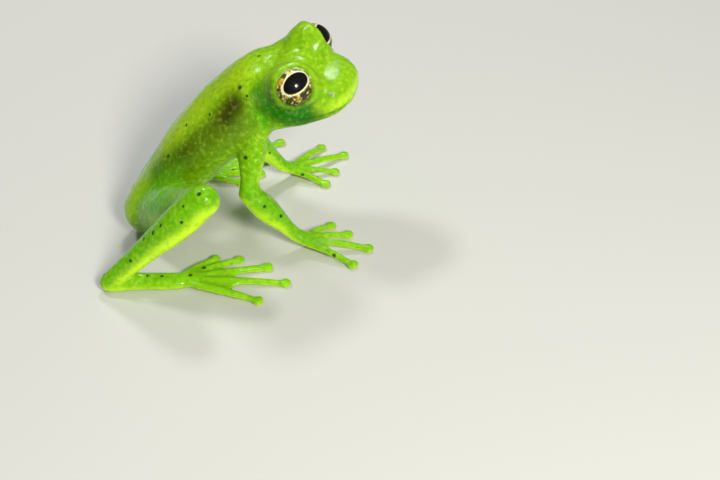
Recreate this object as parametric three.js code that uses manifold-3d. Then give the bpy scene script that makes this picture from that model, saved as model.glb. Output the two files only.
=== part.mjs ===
// A male emerald glass frog sitting up on its haunches, life size, in millimetres.
// +X is the way its trunk faces, +Y its left and +Z up. The floor is z = 0, and the
// origin is the middle of the small flat that its seat rests on.
import * as THREE from "three";
import { mergeVertices } from "three/addons/utils/BufferGeometryUtils.js";
import Module from "manifold-3d";

const wasm = await Module();
wasm.setup();

// Driving sizes
const snoutVent = 27; // along the back, from vent to snout tip
const unit = snoutVent / 27; // every other length below is for a 27 mm frog
const gap = 0.3 * unit; // clear space between neighbouring nodes
const neckAt = 18.9 * unit; // where the trunk ends and the head starts
const seat = { x: -2.03 * unit, z: 0.45 * unit }; // the vent end of the spine
const eyeRadius = 1.7 * unit;
const eyeGap = 0.26 * unit;

const degrees = THREE.MathUtils.degToRad;

// Tables of [place, values...] along a length
const spineAngles = [
  // place, pitch, turn to the left, roll with the left side up
  [0, 56, 0, 0],
  [5, 55, 0, 0],
  [9, 47, 0, 0],
  [13, 38, -1, 0],
  [15, 33, -4, 0],
  [17.5, 24, -13, 3],
  [20.5, 12, -26, 8],
  [27, 8, -26, 8],
];
const trunkSizes = [
  // place, half width, height above the line, depth below it
  [0, 2.4, 2.5, 2.9],
  [3, 2.8, 2.5, 2.8],
  [6, 3.1, 2.35, 2.6],
  [9, 3.55, 2.6, 2.75],
  [12.5, 3.95, 2.95, 2.9],
  [15.5, 3.95, 3.4, 2.75],
  [17.5, 3.8, 4.0, 2.6],
  [19, 3.9, 4.25, 2.4],
  [20.3, 4.25, 3.9, 2.05],
  [22.5, 4.25, 2.85, 1.65],
  [24.5, 3.6, 2.4, 1.35],
  [27, 2.85, 1.95, 1.0],
];
const rumpRound = 2 * unit; // how far the rump takes to reach full size
const snoutRound = 2.3 * unit; // how far the snout takes to close
const snoutLean = 0.25; // how far the top of the snout overhangs the mouth, for each mm of height
const mouth = { from: 19.8 * unit, full: 21.2 * unit, depth: 0.24 * unit, half: 6 };

// Smooth value of a table at a place, by cubic Hermite pieces
function along(table, place) {
  const last = table.length - 1;
  const x = THREE.MathUtils.clamp(place, table[0][0], table[last][0]);
  let i = 0;
  while (i < last - 1 && x > table[i + 1][0]) i++;
  const slope = (k, column) => {
    const a = table[Math.max(k - 1, 0)];
    const b = table[Math.min(k + 1, last)];
    return (b[column] - a[column]) / (b[0] - a[0]);
  };
  const span = table[i + 1][0] - table[i][0];
  const t = (x - table[i][0]) / span;
  return table[i].slice(1).map((value, n) => {
    const c = n + 1;
    const h = t * t * (3 - 2 * t);
    const inRise = t * (1 - t) * (1 - t) * span * slope(i, c);
    const outRise = t * t * (t - 1) * span * slope(i + 1, c);
    return value * (1 - h) + table[i + 1][c] * h + inRise + outRise;
  });
}

// Directions ahead, to the left and up for a pitch, a turn and a roll in degrees
function facing(pitch, turn, roll = 0) {
  const p = degrees(pitch);
  const t = degrees(turn);
  const ahead = new THREE.Vector3(Math.cos(p) * Math.cos(t), Math.cos(p) * Math.sin(t), Math.sin(p));
  const left = new THREE.Vector3(-Math.sin(t), Math.cos(t), 0).applyAxisAngle(ahead, degrees(roll));
  return { ahead, left, up: ahead.clone().cross(left) };
}

// The spine is its direction summed up in short steps
const spineStep = 0.1 * unit;
const spinePoints = [new THREE.Vector3(seat.x, 0, seat.z)];
for (let s = 0; s < snoutVent; s += spineStep) {
  const step = facing(...along(spineAngles, (s + spineStep / 2) / unit)).ahead;
  spinePoints.push(spinePoints.at(-1).clone().addScaledVector(step, spineStep));
}

// The frame of the spine at a place: its point and its three directions
function spineAt(s) {
  const x = THREE.MathUtils.clamp(s / spineStep, 0, spinePoints.length - 1.001);
  const i = Math.floor(x);
  const frame = facing(...along(spineAngles, s / unit));
  frame.at = spinePoints[i].clone().lerp(spinePoints[i + 1], x - i);
  frame.at.addScaledVector(frame.ahead, s - THREE.MathUtils.clamp(s, 0, snoutVent));
  return frame;
}

// A point given ahead of, to the left of and above a spine frame
function fromSpine(frame, ahead, left, up) {
  return frame.at
    .clone()
    .addScaledVector(frame.ahead, ahead)
    .addScaledVector(frame.left, left)
    .addScaledVector(frame.up, up);
}

// A closed solid from rings of points, with a fan over each end
function loft(rings) {
  const count = rings[0].length;
  const points = rings.flat();
  const faces = [];
  for (let r = 0; r + 1 < rings.length; r++) {
    for (let k = 0; k < count; k++) {
      const a = r * count + k;
      const b = r * count + ((k + 1) % count);
      faces.push(a, b, b + count, a, b + count, a + count);
    }
  }
  for (const end of [0, rings.length - 1]) {
    const ring = rings[end];
    const middle = ring.reduce((sum, p) => sum.add(p), new THREE.Vector3()).divideScalar(count);
    const hub = points.push(middle) - 1;
    for (let k = 0; k < count; k++) {
      const a = end * count + k;
      const b = end * count + ((k + 1) % count);
      faces.push(...(end ? [a, b, hub] : [b, a, hub]));
    }
  }
  return new THREE.BufferGeometry().setFromPoints(points).setIndex(faces);
}

// A geometry as a manifold-3d solid
function solid(geometry) {
  const bare = new THREE.BufferGeometry().setAttribute("position", geometry.getAttribute("position"));
  bare.setIndex(geometry.index);
  const merged = mergeVertices(bare, 1e-4);
  return new wasm.Manifold(
    new wasm.Mesh({
      numProp: 3,
      vertProperties: merged.attributes.position.array,
      triVerts: new Uint32Array(merged.index.array),
    }),
  );
}

const joined = (solids) => solids.reduce((all, one) => all.add(one));

// Angles round a section, with close pairs beside the mouth line at 0 and 180 degrees
const halfRing = 12;
const sectionAngles = [];
for (const side of [0, 180]) {
  sectionAngles.push(side, side + mouth.half);
  for (let k = 1; k < halfRing; k++) {
    sectionAngles.push(side + mouth.half + ((180 - 2 * mouth.half) * k) / halfRing);
  }
  sectionAngles.push(side + 180 - mouth.half);
}

// One section of trunk or head: a superellipse, taller above the line than below it
function section(s, grow) {
  const [halfWidth, above, below] = along(trunkSizes, s / unit).map((v) => v * unit);
  const frame = spineAt(s);
  const inRump = THREE.MathUtils.clamp(1 - s / rumpRound, 0, 0.999);
  const inSnout = THREE.MathUtils.clamp((s - snoutVent + snoutRound) / snoutRound, 0, 0.998);
  const close = Math.sqrt(1 - inRump ** 2) * (1 - inSnout ** 2.6) ** (1 / 2.2);
  const opening = THREE.MathUtils.smoothstep(s, mouth.from, mouth.full) * mouth.depth * (1 - inSnout ** 4);
  const lean = snoutLean * THREE.MathUtils.smoothstep(s / unit, 22.5, 27);
  const square = 2 / THREE.MathUtils.mapLinear(THREE.MathUtils.clamp(s / unit, 17, 22), 17, 22, 2.1, 2.5);
  return sectionAngles.map((angle) => {
    const c = Math.cos(degrees(angle));
    const v = Math.sin(degrees(angle));
    const over = angle < 180;
    const lip = angle % 180 === 0 ? opening : over ? 0 : opening * 0.35;
    const wide = Math.sign(c) * (Math.abs(c) ** square * halfWidth * close - lip);
    const tall = Math.sign(v) * Math.abs(v) ** square * (over ? above : below) * close;
    const rim = new THREE.Vector2(wide, tall);
    rim.addScaledVector(new THREE.Vector2(c, v), grow);
    return fromSpine(frame, lean * rim.y, rim.x, rim.y);
  });
}

// Trunk and head as one run of sections, or the room that it takes with a margin round it
const trunkRings = 18;
const headRings = 18;
function bodyPiece(grow) {
  const places = [];
  for (let k = 0; k < trunkRings; k++) {
    const t = k / trunkRings;
    places.push(THREE.MathUtils.lerp(1 - Math.cos((t * Math.PI) / 2), t, 0.45) * neckAt);
  }
  for (let k = 0; k <= headRings; k++) {
    const t = k / headRings;
    const ease = THREE.MathUtils.lerp(Math.sin((t * Math.PI) / 2), t, 0.35);
    places.push(THREE.MathUtils.lerp(neckAt, snoutVent, ease));
  }
  const rings = places.map((s) => section(s, grow));
  if (grow) {
    const push = (ring, s, way) => ring.map((p) => p.clone().addScaledVector(spineAt(s).ahead, way * grow));
    rings.unshift(push(rings[0], 0, -1));
    rings.push(push(rings.at(-1), snoutVent, 1));
  }
  return solid(loft(rings));
}

// A ball squashed along three directions
function ball(centre, frame, radii, across = 20) {
  const shape = new THREE.SphereGeometry(1, across, Math.round(across * 0.6));
  const turn = new THREE.Matrix4().makeBasis(frame.ahead, frame.left, frame.up);
  shape.scale(...radii).applyMatrix4(turn.setPosition(centre));
  return solid(shape);
}

// A limb: elliptic sections carried along a quadratic curve, with domed ends
const limbSides = 12;
function limb({ from, bend, to, sizes, sides = limbSides, steps = 6, domes = [80, 50, 22] }, grow = 0) {
  const middle = bend ?? from.clone().lerp(to, 0.5);
  const curve = new THREE.QuadraticBezierCurve3(from, middle, to);
  const ring = (t, shift, shrink) => {
    const ahead = curve.getTangent(t);
    const side = new THREE.Vector3(0, 0, 1).cross(ahead).normalize();
    const up = ahead.clone().cross(side);
    const [wide, tall] = along(sizes, t).map((v) => v * unit + grow);
    const centre = curve.getPoint(t).addScaledVector(ahead, shift * Math.min(wide, tall));
    return Array.from({ length: sides }, (_, k) => {
      const a = (k / sides) * 2 * Math.PI;
      return centre
        .clone()
        .addScaledVector(side, wide * shrink * Math.cos(a))
        .addScaledVector(up, tall * shrink * Math.sin(a));
    });
  };
  const turns = domes.map(degrees);
  return solid(
    loft([
      ...turns.map((a) => ring(0, -Math.sin(a), Math.cos(a))),
      ...Array.from({ length: steps + 1 }, (_, k) => ring(k / steps, 0, 1)),
      ...turns.toReversed().map((a) => ring(1, Math.sin(a), Math.cos(a))),
    ]),
  );
}

// A step of a given length on a heading and a rise, in degrees
function stride(from, length, heading, rise) {
  const h = degrees(heading);
  const r = degrees(rise);
  const way = new THREE.Vector3(Math.cos(r) * Math.cos(h), Math.cos(r) * Math.sin(h), Math.sin(r));
  return from.clone().addScaledVector(way, length * unit);
}

// A step of a given length that ends at a given height
function strideTo(from, length, heading, height) {
  const drop = THREE.MathUtils.clamp((height - from.z / unit) / length, -1, 1);
  return stride(from, length, heading, THREE.MathUtils.radToDeg(Math.asin(drop)));
}

// Eyes: place in the head, and the way each looks
const eyeFrame = spineAt(22.5 * unit);
const eyes = [-1, 1].map((side) => {
  const looks = new THREE.Vector3()
    .addScaledVector(eyeFrame.ahead, 0.62)
    .addScaledVector(eyeFrame.left, 0.74 * side)
    .addScaledVector(eyeFrame.up, 0.45)
    .normalize();
  return { side, looks, centre: fromSpine(eyeFrame, 0.35 * unit, 3.05 * side * unit, 3.0 * unit) };
});

// A ring or ball turned so that its own axis lies along a direction
function aimed(shape, centre, looks) {
  const turn = new THREE.Quaternion().setFromUnitVectors(new THREE.Vector3(0, 0, 1), looks);
  return solid(shape.applyQuaternion(turn).translate(...centre));
}

function eyeball(eye, grow = 0) {
  return aimed(new THREE.SphereGeometry(eyeRadius + grow, 20, 12), eye.centre, eye.looks);
}

// Trunk and head in one piece, with crown, eye mounds, ridges from eye to snout, lids, sockets,
// nostrils and ears
function body() {
  const crown = [2.8, 2.7, 2.3].map((v) => v * unit);
  let made = bodyPiece(0).add(ball(fromSpine(spineAt(21.8 * unit), 0, 0, 1.7 * unit), eyeFrame, crown));
  for (const eye of eyes) {
    const mound = ball(
      eye.centre.clone().addScaledVector(eye.looks, -0.3 * unit).addScaledVector(eyeFrame.up, -0.05 * unit),
      eyeFrame,
      [2.4, 2.25, 2.25].map((v) => v * unit),
      20,
    );
    const slope = ball(
      fromSpine(eyeFrame, -0.9 * unit, 2.4 * eye.side * unit, 1.6 * unit),
      eyeFrame,
      [3.3, 2.2, 2.5].map((v) => v * unit),
      16,
    );
    const lidPlace = eye.centre.clone().addScaledVector(eye.looks, 0.7 * unit);
    const lid = aimed(new THREE.TorusGeometry(1.81 * unit, 0.22 * unit, 6, 24), lidPlace, eye.looks);
    const front = aimed(
      new THREE.CylinderGeometry(2.05 * unit, 2.05 * unit, 2 * unit, 20).rotateX(Math.PI / 2),
      eye.centre.clone().addScaledVector(eye.looks, 1.75 * unit),
      eye.looks,
    );
    const ridge = {
      from: fromSpine(spineAt(22.9 * unit), 0, 2.6 * eye.side * unit, 2.6 * unit),
      to: fromSpine(spineAt(26.2 * unit), 0, 1.45 * eye.side * unit, 1.15 * unit),
      sizes: [[0, 0.95, 0.95], [1, 0.6, 0.6]],
    };
    made = made.add(mound).add(slope).add(limb(ridge)).subtract(front);
    made = made.add(lid).subtract(eyeball(eye, eyeGap));
  }
  for (const side of [-1, 1]) {
    const frame = spineAt(26.25 * unit);
    const nostril = fromSpine(frame, 0, 1.15 * side * unit, 1.35 * unit);
    const pit = fromSpine(frame, 0.1 * unit, 1.5 * side * unit, 1.6 * unit);
    const ear = fromSpine(spineAt(20.1 * unit), 0, 4.62 * side * unit, 0.95 * unit);
    made = made
      .add(ball(nostril, frame, [0.5, 0.45, 0.42].map((v) => v * unit), 10))
      .subtract(ball(pit, frame, [0.2, 0.2, 0.2].map((v) => v * unit), 8))
      .subtract(ball(ear, frame, [0.62, 0.5, 0.62].map((v) => v * unit), 12));
  }
  return made;
}

// The neck is one thin straight cut through the body
function neckCut() {
  const frame = spineAt(neckAt);
  const turn = new THREE.Matrix4().makeBasis(frame.ahead, frame.left, frame.up).setPosition(frame.at);
  return solid(new THREE.BoxGeometry(gap, 20 * unit, 20 * unit).applyMatrix4(turn));
}

// Arms: shoulder, elbow and wrist, then a palm and four fingers with discs
const armSizes = {
  upper: [[0, 1.45, 1.45], [0.4, 1.25, 1.25], [0.8, 0.92, 0.92], [1, 0.98, 0.98]],
  fore: [[0, 0.98, 0.98], [0.3, 1.22, 1.16], [0.8, 0.78, 0.74], [1, 0.72, 0.66]],
  palm: [[0, 0.7, 0.62], [0.6, 1.0, 0.52], [1, 1.0, 0.42]],
};
const fingers = [
  // length from the wrist, heading towards the thumb side
  [4.3, 52],
  [4.9, 22],
  [6.6, -4],
  [6.0, -30],
];
const digit = [[0, 0.42, 0.4], [0.6, 0.34, 0.32], [1, 0.31, 0.28]];
const disc = { long: 0.52, wide: 0.56, thick: 0.31 };
const discHeight = 0.24;
const padHeight = 0.24; // centre line of a digit where it lies on the floor

// A digit that comes down to the floor and ends in a disc
function digitParts(root, length, heading, grow) {
  const tip = stride(root, length, heading, 0).setZ(padHeight * unit);
  const bend = root.clone().lerp(tip, 0.55).setZ((root.z + padHeight * unit) * 0.5 + 0.28 * unit);
  const pad = stride(tip, 0.25, heading, 0).setZ(discHeight * unit);
  const frame = facing(0, heading);
  const radii = [disc.long, disc.wide, disc.thick].map((v) => v * unit + grow);
  return {
    curve: new THREE.QuadraticBezierCurve3(root, bend, tip),
    solids: [
      limb({ from: root, bend, to: tip, sizes: digit, sides: 7, steps: 4, domes: [60] }, grow),
      ball(pad, frame, radii, 10),
    ],
  };
}

// Skin between two digits: a thin plate that reaches a share of each and sags between them
const webSteps = 2;
const webHalf = 0.25 * unit;
function web(curveA, curveB, reachA, reachB) {
  const row = (v, lift) =>
    Array.from({ length: webSteps + 1 }, (_, k) => {
      const u = k / webSteps;
      const hollow = 1 - 0.25 * Math.sin(Math.PI * u);
      const share = v * THREE.MathUtils.lerp(reachA, reachB, u) * hollow;
      const p = curveA.getPoint(share).lerp(curveB.getPoint(share), u);
      p.z = Math.max(p.z - 0.05 * unit, webHalf) + lift;
      return p;
    });
  const rings = Array.from({ length: 5 }, (_, k) => {
    const v = 0.08 + (0.92 * k) / 4;
    return [...row(v, -webHalf), ...row(v, webHalf).reverse()];
  });
  return rings;
}

function sheet(rings) {
  const made = solid(loft(rings));
  return made.volume() < 0 ? solid(loft(rings.toReversed())) : made;
}

function arm(side, pose) {
  const root = fromSpine(spineAt(16.4 * unit), 0, 2.75 * side * unit, -1.1 * unit);
  const elbow = stride(root, 5.7, pose.upper[0], pose.upper[1]);
  const wrist = strideTo(elbow, 6.0, pose.fore, 1.5);
  const knuckles = strideTo(wrist, 2.3, pose.hand, 0.5);
  return {
    upper: { from: root, to: elbow, sizes: armSizes.upper },
    fore: { from: elbow, to: wrist, sizes: armSizes.fore },
    palm: { from: wrist, to: knuckles, sizes: armSizes.palm, sides: 12, steps: 4 },
    digits: (grow) =>
      fingers.map(([length, spread]) =>
        digitParts(stride(wrist, 1.3, pose.hand - side * spread * 0.6, -28), length - 1.4,
          pose.hand - side * spread, grow)),
  };
}

// Legs: hip, knee, heel and ankle, then five webbed toes with discs
const legSizes = {
  thigh: [[0, 2.2, 2.3], [0.35, 2.05, 2.25], [0.75, 1.5, 1.65], [1, 1.4, 1.45]],
  shank: [[0, 1.4, 1.45], [0.25, 1.6, 1.5], [0.6, 1.15, 1.1], [0.85, 0.92, 0.92], [1, 0.95, 0.95]],
  tarsus: [[0, 0.95, 0.9], [0.5, 0.85, 0.75], [1, 0.95, 0.62]],
};
const toes = [
  // length from the ankle, heading towards the inner side, share that is webbed
  [4.2, 46, 0.6],
  [5.6, 29, 0.68],
  [7.4, 12, 0.7],
  [8.9, -4, 0.62],
  [7.2, -22, 0.72],
];

function leg(side, pose) {
  const hip = fromSpine(spineAt(3.5 * unit), 0, 1.8 * side * unit, -0.2 * unit);
  const knee = stride(hip, 11.2, pose.thigh[0], pose.thigh[1]);
  const heel = strideTo(knee, 12.9, pose.shank, 0.85);
  const ankle = strideTo(heel, 6.4, pose.foot, 0.55);
  return {
    thigh: { from: hip, to: knee, sizes: legSizes.thigh },
    shank: { from: knee, to: heel, sizes: legSizes.shank },
    tarsus: { from: heel, to: ankle, sizes: legSizes.tarsus },
    digits: (grow) =>
      toes.map(([length, spread]) =>
        digitParts(stride(ankle, 0.55, pose.foot - side * spread * 2, 0), length - 0.5,
          pose.foot - side * spread, grow)),
  };
}

// Headings, with rises where a part doesn't end at a set height, in degrees
const armPoses = {
  right: { upper: [-118, -64], fore: -12, hand: -14 },
  left: { upper: [116, -62], fore: 6, hand: 16 },
};
const legPoses = {
  right: { thigh: [-66, 35], shank: 166, foot: -9.5 },
  left: { thigh: [35, 36], shank: 190, foot: 20 },
};

// Colours of skin and eyes
const green = new THREE.MeshStandardMaterial({ color: 0x7fb51e, roughness: 0.35, metalness: 0 });
const gold = new THREE.MeshStandardMaterial({ color: 0xd9d2a0, roughness: 0.1, metalness: 0 });

const frog = new THREE.Group();
const below = solid(new THREE.BoxGeometry(200, 200, 20).translate(0, 0, -10));

// The pieces of a solid, largest first
const bySize = (made) => made.decompose().sort((a, b) => b.volume() - a.volume());

// Adds the largest piece of a solid, cut off at the floor, as a named mesh
function place(name, made, material) {
  const mesh = bySize(made.subtract(below))[0].getMesh();
  const shape = new THREE.BufferGeometry();
  shape.setAttribute("position", new THREE.BufferAttribute(mesh.vertProperties, 3));
  shape.setIndex(new THREE.BufferAttribute(mesh.triVerts, 1));
  shape.computeVertexNormals();
  const node = new THREE.Mesh(shape, material);
  node.name = name;
  frog.add(node);
}

const bodyRoom = bodyPiece(gap);
const [trunk, head] = bySize(body().subtract(neckCut()));
place("trunk", trunk, green);
place("head", head, green);
for (const eye of eyes) place(eye.side < 0 ? "eye_right" : "eye_left", eyeball(eye), gold);

for (const [name, side] of [["right", -1], ["left", 1]]) {
  const a = arm(side, armPoses[name]);
  const l = leg(side, legPoses[name]);
  const thighRoom = limb(l.thigh, gap);
  const shankRoom = limb(l.shank, gap);
  place("thigh_" + name, limb(l.thigh).subtract(bodyRoom), green);
  place("shank_" + name, limb(l.shank).subtract(thighRoom).subtract(bodyRoom), green);
  place("tarsus_" + name, limb(l.tarsus).subtract(shankRoom), green);

  const toeParts = l.digits(0);
  const webs = toes.slice(1).map(([, , reach], k) => {
    const before = toes[k];
    return sheet(web(toeParts[k].curve, toeParts[k + 1].curve, before[2], reach * 0.9));
  });
  const foot = joined([...toeParts.flatMap((d) => d.solids), ...webs]);
  place("foot_" + name, foot.subtract(limb(l.tarsus, gap)), green);

  const upperRoom = limb(a.upper, gap);
  place("upper_arm_" + name, limb(a.upper).subtract(bodyRoom), green);
  place("forearm_" + name, limb(a.fore).subtract(upperRoom).subtract(bodyRoom), green);
  const handParts = a.digits(0);
  const handWeb = sheet(web(handParts[2].curve, handParts[3].curve, 0.45, 0.5));
  const hand = joined([limb(a.palm), ...handParts.flatMap((d) => d.solids), handWeb]);
  place("hand_" + name, hand.subtract(limb(a.fore, gap)), green);
}

export default frog;
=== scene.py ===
# Emerald glass frog, a life-size still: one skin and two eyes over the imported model
import math

import bpy
import numpy as np
from mathutils import Matrix, Vector


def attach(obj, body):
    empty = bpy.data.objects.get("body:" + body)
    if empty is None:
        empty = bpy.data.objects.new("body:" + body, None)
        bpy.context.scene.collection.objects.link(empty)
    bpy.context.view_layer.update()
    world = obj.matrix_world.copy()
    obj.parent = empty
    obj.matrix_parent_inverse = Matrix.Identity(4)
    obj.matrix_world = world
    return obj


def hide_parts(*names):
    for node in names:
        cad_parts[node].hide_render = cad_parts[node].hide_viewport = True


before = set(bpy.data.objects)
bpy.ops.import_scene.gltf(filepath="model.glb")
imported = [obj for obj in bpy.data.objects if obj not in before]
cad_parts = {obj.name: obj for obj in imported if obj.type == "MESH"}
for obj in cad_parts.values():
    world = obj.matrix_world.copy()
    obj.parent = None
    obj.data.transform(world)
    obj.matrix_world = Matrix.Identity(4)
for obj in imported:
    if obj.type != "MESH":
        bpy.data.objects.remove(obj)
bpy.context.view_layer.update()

millimetre = 0.001
print("frame loaded")


# Trunk and head, in millimetres and degrees: where the spine runs, and how big each section is
body = {
    "seat": (-2.03, 0.0, 0.45),
    "length": 27.0,
    "angles": [  # place, pitch, turn to the left, roll with the left side up
        (0, 56, 0, 0), (5, 55, 0, 0), (9, 47, 0, 0), (13, 38, -1, 0), (15, 33, -4, 0),
        (17.5, 24, -13, 3), (20.5, 12, -26, 8), (27, 8, -26, 8),
    ],
    "sections": [  # place, half width, height above the line, depth below it
        (0, 2.4, 2.5, 2.9), (3, 2.8, 2.5, 2.8), (6, 3.1, 2.35, 2.6), (9, 3.55, 2.6, 2.75),
        (12.5, 3.95, 2.95, 2.9), (15.5, 3.95, 3.4, 2.75), (17.5, 3.8, 4.0, 2.6), (19, 3.9, 4.25, 2.4),
        (20.3, 4.25, 3.9, 2.05), (22.5, 4.25, 2.85, 1.65), (24.5, 3.6, 2.4, 1.35), (27, 2.85, 1.95, 1.0),
    ],
    "tip": 0.002,  # how far inside the two tips the first and last sections lie
    "square": ((17, 2.1), (22, 2.5)),  # place and power of the superellipse: squarer in the head
    "rumpRound": 2.0,  # length of the rounded end of the rump
    "snoutRound": 2.3, "snoutBlunt": (2.6, 2.2),  # the same for the snout, and the powers of its curve
    "snoutLean": 0.25, "leanFrom": 22.5,  # how far the snout's top overhangs the mouth, per mm of height
}


def along(table, place):
    # smooth value of each column at a place: cubic Hermite pieces through the rows
    rows = np.array(table, float)
    x, y = rows[:, 0], rows[:, 1:]
    last = len(x) - 1
    before = np.maximum(np.arange(last + 1) - 1, 0)
    after = np.minimum(np.arange(last + 1) + 1, last)
    slope = (y[after] - y[before]) / (x[after] - x[before])[:, None]
    place = np.clip(np.asarray(place, float), x[0], x[last])
    i = np.clip(np.searchsorted(x, place) - 1, 0, last - 1)
    span = (x[i + 1] - x[i])[..., None]
    t = (place - x[i])[..., None] / span
    ease = t * t * (3 - 2 * t)
    rise = t * (1 - t) ** 2 * slope[i] + t * t * (t - 1) * slope[i + 1]
    return y[i] * (1 - ease) + y[i + 1] * ease + span * rise


def smoothStep(value, start, end):
    # 0 before the first limit, 1 past the second, and a smooth cubic step between them
    t = np.clip((value - start) / (end - start), 0, 1)
    return t * t * (3 - 2 * t)


def facing(pitch, turn, roll=0.0):
    # directions ahead, to the left and up, from a pitch, a turn and a roll in degrees
    p, t, r = np.broadcast_arrays(np.radians(pitch), np.radians(turn), np.radians(roll))
    ahead = np.stack([np.cos(p) * np.cos(t), np.cos(p) * np.sin(t), np.sin(p)], -1)
    level = np.stack([-np.sin(t), np.cos(t), 0 * t], -1)
    left = np.cos(r)[..., None] * level + np.sin(r)[..., None] * np.cross(ahead, level)
    return ahead, left, np.cross(ahead, left)


def bump(distance, reach):
    # a bell curve: 1 at no distance, falling smoothly to nothing past its reach
    return np.exp(-(distance / reach) ** 2)


# Spine: short steps added up from the seat, each along the pitch and turn at its middle
spineStep = 0.1
spinePlaces = np.arange(0, body["length"] + spineStep / 2, spineStep)
spineSteps = facing(*along(body["angles"], spinePlaces[:-1] + spineStep / 2).T)[0] * spineStep
spinePoints = np.array(body["seat"]) + np.concatenate([np.zeros((1, 3)), np.cumsum(spineSteps, 0)])


def spineAt(place):
    # point, ahead, left and up of the spine at each place, run on straight past its ends
    place = np.asarray(place, float)
    at = np.stack([np.interp(place, spinePlaces, spinePoints[:, axis]) for axis in range(3)], -1)
    ahead, left, up = facing(*np.moveaxis(along(body["angles"], place), -1, 0))
    past = place - np.clip(place, 0, body["length"])
    return at + past[..., None] * ahead, ahead, left, up


def fromSpine(place, ahead, left, up):
    # a point of the frog from its place along the spine and its offsets ahead, to the left and up
    at, aheadWay, leftWay, upWay = spineAt(place)
    return at + ahead * aheadWay + left * leftWay + up * upWay


def bodyRings(places, angles):
    # superellipse sections carried along the spine, taller above it than below, closed at both ends
    halfWidth, above, below = (column[:, None] for column in along(body["sections"], places).T)
    inRump = np.clip(1 - places / body["rumpRound"], 0, 1)
    inSnout = np.clip((places - body["length"]) / body["snoutRound"] + 1, 0, 1)
    outer, inner = body["snoutBlunt"]
    close = (np.sqrt(1 - inRump ** 2) * (1 - inSnout ** outer) ** (1 / inner))[:, None]
    power = (2 / np.interp(places, *np.transpose(body["square"])))[:, None]
    c, v = np.cos(angles), np.sin(angles)
    wide = np.sign(c) * np.abs(c) ** power * halfWidth * close
    tall = np.sign(v) * np.abs(v) ** power * np.where(v > 0, above, below) * close
    lean = body["snoutLean"] * smoothStep(places, body["leanFrom"], body["length"])[:, None, None]
    at, ahead, left, up = (part[:, None] for part in spineAt(places))
    return at + wide[..., None] * left + tall[..., None] * (up + lean * ahead)


def tube(rings):
    # closed solid from rings of points: quads between neighbouring rings and a fan over each end
    rows, count = rings.shape[:2]
    r, k = (part.ravel() for part in np.meshgrid(np.arange(rows - 1), np.arange(count), indexing="ij"))
    a, b = r * count + k, r * count + (k + 1) % count
    quads = np.stack([a, b, b + count, a + count], 1)
    k = np.arange(count)
    nextK = (k + 1) % count
    hub = rows * count
    first = np.stack([nextK, k, np.full(count, hub)], 1)
    final = np.stack([k, nextK, np.full(count, hub + 1)], 1)
    final[:, :2] += hub - count
    points = np.concatenate([rings.reshape(-1, 3), rings[[0, -1]].mean(1)])
    return points, quads.tolist() + first.tolist() + final.tolist()


def ballRings(centre, axes, radii, rows=40, count=64):
    # an ellipsoid: circles of latitude about its first axis
    lat = np.linspace(-math.pi / 2, math.pi / 2, rows)[1:-1, None]
    lon = np.linspace(0, 2 * math.pi, count, endpoint=False)
    unit = np.stack([np.sin(lat) + 0 * lon, np.cos(lat) * np.cos(lon), np.cos(lat) * np.sin(lon)], -1)
    return centre + (unit * np.array(radii)) @ np.array(axes)


def curveAt(path, t):
    # point of a quadratic curve at each share of the way along it
    start, bend, end = (np.array(path[key], float) for key in ("from", "bend", "to"))
    return (1 - t) ** 2 * start + 2 * t * (1 - t) * bend + t ** 2 * end


def limbRings(limb, rows=60, count=40, domeRows=12):
    # elliptic sections carried along a quadratic curve, with domed ends
    start, bend, end = (np.array(limb[key], float) for key in ("from", "bend", "to"))
    dip = np.radians(np.linspace(85, 5, domeRows))
    t = np.concatenate([np.zeros(domeRows), np.linspace(0, 1, rows), np.ones(domeRows)])[:, None]
    shift = np.concatenate([-np.sin(dip), np.zeros(rows), np.sin(dip[::-1])])[:, None]
    shrink = np.concatenate([np.cos(dip), np.ones(rows), np.cos(dip[::-1])])[:, None, None]
    ahead = (1 - t) * (bend - start) + t * (end - bend)
    ahead /= np.linalg.norm(ahead, axis=1, keepdims=True)
    side = np.cross([0, 0, 1], ahead)
    side /= np.linalg.norm(side, axis=1, keepdims=True)
    up = np.cross(ahead, side)
    size = along(limb["sizes"], t[:, 0])
    centre = curveAt(limb, t) + ahead * shift * size.min(1, keepdims=True)
    angle = np.linspace(0, 2 * math.pi, count, endpoint=False)[None, :, None]
    wide, tall = size[:, 0, None, None] * shrink, size[:, 1, None, None] * shrink
    return centre[:, None] + wide * np.cos(angle) * side[:, None] + tall * np.sin(angle) * up[:, None]


def stride(start, length, heading, rise):
    # a step of a given length on a heading and a rise in degrees
    return np.array(start) + length * facing(rise, heading)[0]


def strideTo(start, length, heading, height):
    # a step of a given length that ends at a given height
    return stride(start, length, heading, math.degrees(math.asin((height - start[2]) / length)))


def straight(start, end, sizes):
    # a limb whose curve bends nowhere: its bend lies halfway between its ends
    return {"from": start, "bend": (np.array(start) + np.array(end)) / 2, "to": end, "sizes": sizes}


# Eyes: places in the head, the way they look, and the mounds they sit in
eye = {
    "place": 22.5, "ahead": 0.35, "left": 3.05, "up": 3.0,
    "looks": (0.62, 0.74, 0.45),  # ahead, outwards, up
    "radius": 1.7,
    "mound": (2.4, 2.25, 2.25), "moundBack": 0.3, "moundDown": 0.05,
    "slope": (3.3, 2.2, 2.5), "slopeAt": (-0.9, 2.4, 1.6),  # where each mound runs out into the head
}


def eyeOf(side):
    # centre and own axes of an eye: the way it looks, forwards along the face, and up
    _, ahead, left, up = spineAt(eye["place"])
    looks = eye["looks"][0] * ahead + eye["looks"][1] * side * left + eye["looks"][2] * up
    looks /= np.linalg.norm(looks)
    rise = up - looks * (up @ looks)
    rise /= np.linalg.norm(rise)
    forwards = side * np.cross(looks, rise)
    centre = fromSpine(eye["place"], eye["ahead"], eye["left"] * side, eye["up"])
    return {"side": side, "centre": centre, "looks": looks, "forwards": forwards, "up": rise}


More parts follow.
